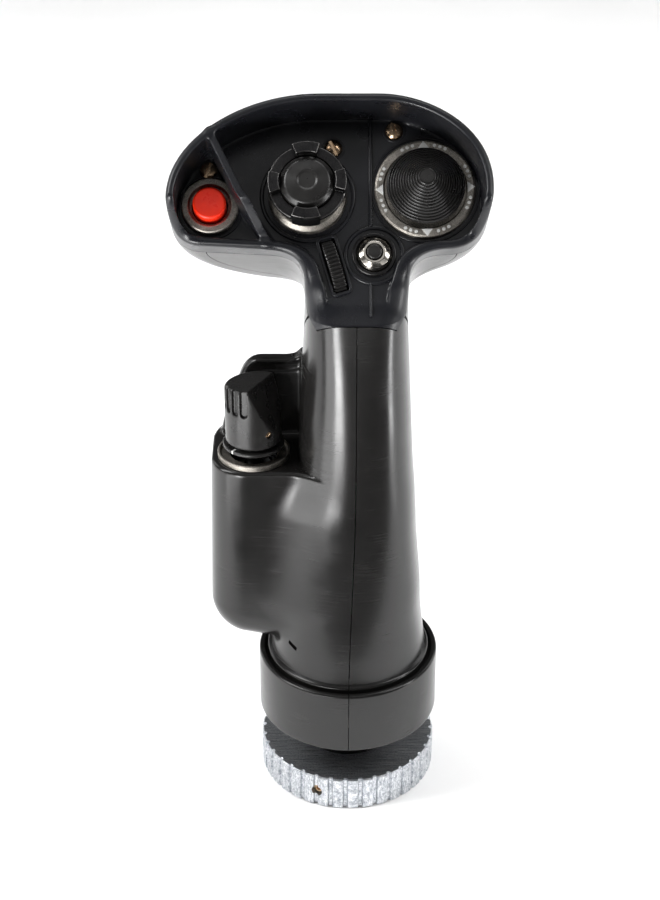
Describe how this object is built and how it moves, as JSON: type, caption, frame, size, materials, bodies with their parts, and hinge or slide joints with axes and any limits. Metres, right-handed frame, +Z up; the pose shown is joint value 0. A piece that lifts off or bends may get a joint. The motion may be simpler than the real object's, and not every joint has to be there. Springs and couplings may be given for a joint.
{
  "type": "flight joystick grip",
  "caption": "Military-style flight stick grip with a wide control head, hats, buttons, trigger, paddle and a fluted locking ring at its foot",
  "frame": {"origin": "centre of the connector face at the foot, in the plane that the locking ring stands on", "axes": "+Z up the grip, -Y towards the pilot, +X to the pilot's right"},
  "size_m": [0.1019, 0.0776, 0.2497],
  "materials": {
    "grip_plastic": "satin moulded black with fine lengthwise brush marks",
    "head_plastic": "fine matte texture, black",
    "control_plastic": "smooth black",
    "ring_aluminium": "bare machined, lightly scratched",
    "blasted_metal": "bead-blasted warm grey",
    "gunmetal": "dark machined",
    "polished_nickel": "polished",
    "brass": "worn",
    "steel": "plain",
    "red_plastic": "smooth red",
    "switch_plastic": "plain",
    "circuit_board": "green board",
    "wire_sleeve": "braided sleeve"
  },
  "bodies": {
    "grip": {"left_grip_shell": "grip_plastic", "right_grip_shell": "grip_plastic", "head_rear_shell": "grip_plastic", "head_underside_cover": "grip_plastic", "head_front_bezel": "head_plastic", "red_button_bezel": "blasted_metal", "castle_bezel": "blasted_metal", "trim_bezel": "blasted_metal", "small_button_collar": "blasted_metal", "select_base_ring": "blasted_metal", "lower_button_bushing": "blasted_metal", "neck_spindle": "gunmetal", "small_button_dome": "polished_nickel", "face_screw_1": "brass", "face_screw_2": "brass", "face_screw_3": "brass", "connector_pin_1": "brass", "connector_pin_2": "brass", "connector_pin_3": "brass", "connector_pin_4": "brass", "connector_pin_5": "brass", "shell_screw_1": "steel", "shell_screw_2": "steel", "shell_screw_3": "steel", "thumbwheel_axle": "steel", "trigger_pin": "steel", "paddle_pin": "steel", "trigger_spring": "steel", "paddle_spring": "steel", "connector_insert": "switch_plastic", "red_button_switch": "switch_plastic", "castle_switch": "switch_plastic", "trim_switch": "switch_plastic", "small_button_switch": "switch_plastic", "select_switch": "switch_plastic", "trigger_microswitch": "switch_plastic", "paddle_microswitch": "switch_plastic", "lower_button_switch": "switch_plastic", "circuit_board": "circuit_board", "wire_harness": "wire_sleeve"},
    "ring_washer": {"ring_slip_washer": "polished_nickel"},
    "ring": {"locking_ring": "ring_aluminium", "ring_set_screw": "brass"},
    "trigger_lever": {"trigger": "control_plastic"},
    "paddle_lever": {"paddle": "control_plastic"},
    "red_button": {"red_button_cap": "red_plastic"},
    "castle_push": {"castle_plunger": "steel"},
    "castle_tilt_ring": {"castle_gimbal": "steel"},
    "castle_hat": {"castle_crown": "gunmetal", "castle_dome": "control_plastic"},
    "trim_tilt_ring": {"trim_gimbal": "steel"},
    "trim_hat": {"trim_cap": "control_plastic"},
    "small_button": {"small_button_tip": "control_plastic"},
    "select_push": {"select_plunger": "steel"},
    "select_tilt_ring": {"select_gimbal": "steel"},
    "select_hat": {"select_knob": "control_plastic", "select_set_screw": "brass"},
    "wheel": {"thumbwheel": "control_plastic"},
    "lower_button": {"lower_button_cap": "control_plastic"}
  },
  "joints": [
    {"name": "ring_lift", "type": "slide", "parent": "grip", "child": "ring_washer", "axis": [0, 0, 1], "range_m": [0, 0.0125]},
    {"name": "ring_turn", "type": "hinge", "parent": "ring_washer", "child": "ring", "pos_m": [0, 0, 0.006], "axis": [0, 0, 1], "continuous": true},
    {"name": "trigger_pull", "type": "hinge", "parent": "grip", "child": "trigger_lever", "pos_m": [0.0021, 0.024, 0.163], "axis": [-1, 0, 0], "range_deg": [0, 12], "stiffness_Nm_per_rad": 0.3, "springref_deg": -17.19},
    {"name": "paddle_pull", "type": "hinge", "parent": "grip", "child": "paddle_lever", "pos_m": [0.0021, 0.021, 0.107], "axis": [-1, 0, 0], "range_deg": [0, 9], "stiffness_Nm_per_rad": 0.4, "springref_deg": -17.19},
    {"name": "red_button_press", "type": "slide", "parent": "grip", "child": "red_button", "axis": [0, 0.749, -0.6626], "range_m": [0, 0.0025], "stiffness_N_per_m": 600, "springref_m": -0.001},
    {"name": "castle_press", "type": "slide", "parent": "grip", "child": "castle_push", "axis": [0, 0.749, -0.6626], "range_m": [0, 0.001], "stiffness_N_per_m": 4000, "springref_m": -0.0005},
    {"name": "castle_tilt_sideways", "type": "hinge", "parent": "castle_push", "child": "castle_tilt_ring", "pos_m": [-0.01351, 0.01566, 0.2136], "axis": [0, 0.6626, 0.749], "range_deg": [-10, 10], "stiffness_Nm_per_rad": 0.8},
    {"name": "castle_tilt_fore_aft", "type": "hinge", "parent": "castle_tilt_ring", "child": "castle_hat", "pos_m": [-0.01351, 0.01566, 0.2136], "axis": [1, 0, 0], "range_deg": [-10, 10], "stiffness_Nm_per_rad": 0.8},
    {"name": "trim_tilt_sideways", "type": "hinge", "parent": "grip", "child": "trim_tilt_ring", "pos_m": [0.02389, 0.01712, 0.21525], "axis": [0, 0.6626, 0.749], "range_deg": [-6, 6], "stiffness_Nm_per_rad": 0.5},
    {"name": "trim_tilt_fore_aft", "type": "hinge", "parent": "trim_tilt_ring", "child": "trim_hat", "pos_m": [0.02389, 0.01712, 0.21525], "axis": [1, 0, 0], "range_deg": [-6, 6], "stiffness_Nm_per_rad": 0.5},
    {"name": "small_button_press", "type": "slide", "parent": "grip", "child": "small_button", "axis": [0, 0.749, -0.6626], "range_m": [0, 0.0015], "stiffness_N_per_m": 800, "springref_m": -0.001},
    {"name": "thumbwheel_turn", "type": "hinge", "parent": "grip", "child": "wheel", "pos_m": [-0.00506, 0.00304, 0.1942], "axis": [0.9593, 0.1871, 0.2115], "range_deg": [-60, 60]},
    {"name": "select_press", "type": "slide", "parent": "grip", "child": "select_push", "axis": [0, 0, -1], "range_m": [0, 0.0008], "stiffness_N_per_m": 4000, "springref_m": -0.0005},
    {"name": "select_tilt_sideways", "type": "hinge", "parent": "select_push", "child": "select_tilt_ring", "pos_m": [-0.0318, -0.0023, 0.1255], "axis": [0, 1, 0], "range_deg": [-4, 4], "stiffness_Nm_per_rad": 0.8},
    {"name": "select_tilt_fore_aft", "type": "hinge", "parent": "select_tilt_ring", "child": "select_hat", "pos_m": [-0.0318, -0.0023, 0.1255], "axis": [1, 0, 0], "range_deg": [-4, 4], "stiffness_Nm_per_rad": 0.8},
    {"name": "lower_button_press", "type": "slide", "parent": "grip", "child": "lower_button", "axis": [0, -1, 0], "range_m": [0, 0.002], "stiffness_N_per_m": 600, "springref_m": -0.001}
  ]
}
